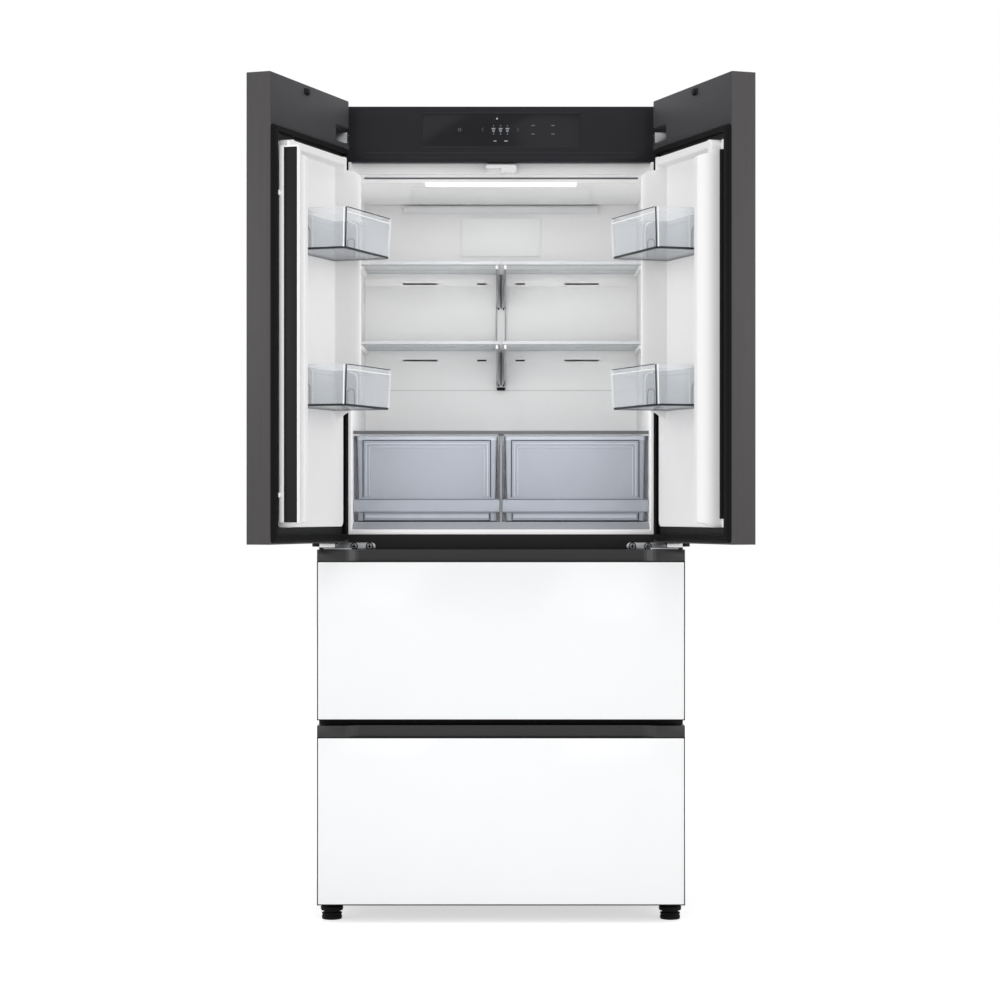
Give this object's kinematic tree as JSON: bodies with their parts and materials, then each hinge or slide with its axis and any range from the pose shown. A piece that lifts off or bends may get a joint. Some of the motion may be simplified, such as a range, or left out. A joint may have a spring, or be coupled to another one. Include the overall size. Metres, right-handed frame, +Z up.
{
  "type": "kimchi refrigerator",
  "caption": "Free-standing kimchi refrigerator: chilled compartment behind two hinged doors with a folding mullion, above two sliding kimchi drawers.",
  "frame": {"origin": "on the floor, under the middle of the box that holds everything with both doors open as built", "axes": "+Z up, +Y to the rear of the case, +X to the right as seen from the front"},
  "size_m": [1.077, 1.0712, 1.861],
  "materials": {
    "case_steel": "dark grey satin paint",
    "dark_trim": "dark grey satin",
    "front_trim": "dark brushed metal look",
    "white_glass": "back-painted white glass, polished",
    "display_glass": "black glass, polished",
    "white_plastic": "white moulded plastic",
    "clear_plastic": "clear moulded plastic",
    "blue_clear_plastic": "bluish clear moulded plastic",
    "shelf_glass": "tempered glass",
    "bright_metal": "zinc plated steel",
    "seal_rubber": "soft black magnetic seal",
    "black_plastic": "black moulded plastic",
    "machine_black": "black enamel",
    "coil_aluminium": "bare aluminium fins",
    "board_green": "circuit board",
    "foam": "polyurethane foam",
    "tub_grey": "light grey moulded plastic"
  },
  "bodies": {
    "cabinet": {"outer_case": "case_steel", "back_panel": "bright_metal", "base_frame": "machine_black", "insulation_foam": "foam", "front_frame": "dark_trim", "control_panel_housing": "dark_trim", "display_glass": "display_glass", "control_board": "board_green", "upper_liner": "white_plastic", "upper_drawer_liner": "white_plastic", "lower_drawer_liner": "white_plastic", "duct_cover": "white_plastic", "shelf_rail": "bright_metal", "lower_shelf_right": "shelf_glass", "lower_shelf_left": "shelf_glass", "upper_shelf_right": "shelf_glass", "upper_shelf_left": "shelf_glass", "crisper_cover": "shelf_glass", "mullion_guide": "white_plastic", "left_upper_hinge": "bright_metal", "right_upper_hinge": "bright_metal", "left_lower_hinge": "bright_metal", "right_lower_hinge": "bright_metal", "upper_drawer_rails": "bright_metal", "lower_drawer_rails": "bright_metal", "evaporator": "coil_aluminium", "evaporator_fan_motor": "black_plastic", "compressor": "machine_black", "condenser": "coil_aluminium", "condenser_fan_motor": "black_plastic", "drip_tray": "black_plastic", "machine_room_cover": "bright_metal", "power_inlet": "black_plastic"},
    "left_door": {"left_door_frame": "dark_trim", "left_door_glass": "white_glass", "left_door_liner": "white_plastic", "left_door_seal": "seal_rubber", "left_door_lower_bin": "clear_plastic", "left_door_upper_bin": "clear_plastic"},
    "right_door": {"right_door_frame": "dark_trim", "right_door_glass": "white_glass", "right_door_liner": "white_plastic", "right_door_seal": "seal_rubber", "right_door_lower_bin": "clear_plastic", "right_door_upper_bin": "clear_plastic"},
    "mullion_bar": {"mullion": "white_plastic"},
    "upper_drawer": {"upper_drawer_front": "front_trim", "upper_drawer_glass": "white_glass", "upper_drawer_tub": "tub_grey"},
    "lower_drawer": {"lower_drawer_front": "front_trim", "lower_drawer_glass": "white_glass", "lower_drawer_tub": "tub_grey"},
    "left_crisper_tray": {"left_crisper": "blue_clear_plastic"},
    "right_crisper_tray": {"right_crisper": "blue_clear_plastic"},
    "left_levelling_foot": {"left_foot": "black_plastic"},
    "right_levelling_foot": {"right_foot": "black_plastic"},
    "left_wheel": {"left_roller": "black_plastic"},
    "right_wheel": {"right_roller": "black_plastic"},
    "cold_air_fan": {"evaporator_fan": "white_plastic"},
    "machine_room_fan": {"condenser_fan": "black_plastic"}
  },
  "joints": [
    {"name": "left_door_hinge", "type": "hinge", "parent": "cabinet", "child": "left_door", "pos_m": [-0.394, -0.15038, 0.862], "axis": [0, 0, -1], "range_deg": [-110, 10]},
    {"name": "right_door_hinge", "type": "hinge", "parent": "cabinet", "child": "right_door", "pos_m": [0.394, -0.15038, 0.862], "axis": [0, 0, 1], "range_deg": [-110, 10]},
    {"name": "mullion_fold", "type": "hinge", "parent": "left_door", "child": "mullion_bar", "pos_m": [-0.46985, -0.51811, 0.962], "axis": [0, 0, 1], "range_deg": [-90, 0]},
    {"name": "upper_drawer_slide", "type": "slide", "parent": "cabinet", "child": "upper_drawer", "axis": [0, -1, 0], "range_m": [0, 0.42]},
    {"name": "lower_drawer_slide", "type": "slide", "parent": "cabinet", "child": "lower_drawer", "axis": [0, -1, 0], "range_m": [0, 0.29]},
    {"name": "left_crisper_slide", "type": "slide", "parent": "cabinet", "child": "left_crisper_tray", "axis": [0, -1, 0], "range_m": [0, 0.25]},
    {"name": "right_crisper_slide", "type": "slide", "parent": "cabinet", "child": "right_crisper_tray", "axis": [0, -1, 0], "range_m": [0, 0.25]},
    {"name": "left_foot_turn", "type": "hinge", "parent": "cabinet", "child": "left_levelling_foot", "pos_m": [-0.387, -0.08638, 0], "axis": [0, 0, 1], "continuous": true},
    {"name": "right_foot_turn", "type": "hinge", "parent": "cabinet", "child": "right_levelling_foot", "pos_m": [0.387, -0.08638, 0], "axis": [0, 0, 1], "continuous": true},
    {"name": "left_wheel_spin", "type": "hinge", "parent": "cabinet", "child": "left_wheel", "pos_m": [-0.372, 0.47062, 0.02], "axis": [1, 0, 0], "continuous": true},
    {"name": "right_wheel_spin", "type": "hinge", "parent": "cabinet", "child": "right_wheel", "pos_m": [0.372, 0.47062, 0.02], "axis": [1, 0, 0], "continuous": true},
    {"name": "cold_air_fan_spin", "type": "hinge", "parent": "cabinet", "child": "cold_air_fan", "pos_m": [0, 0.36762, 1.3075], "axis": [0, 1, 0], "continuous": true},
    {"name": "machine_room_fan_spin", "type": "hinge", "parent": "cabinet", "child": "machine_room_fan", "pos_m": [-0.036, 0.42562, 0.1235], "axis": [1, 0, 0], "continuous": true}
  ]
}
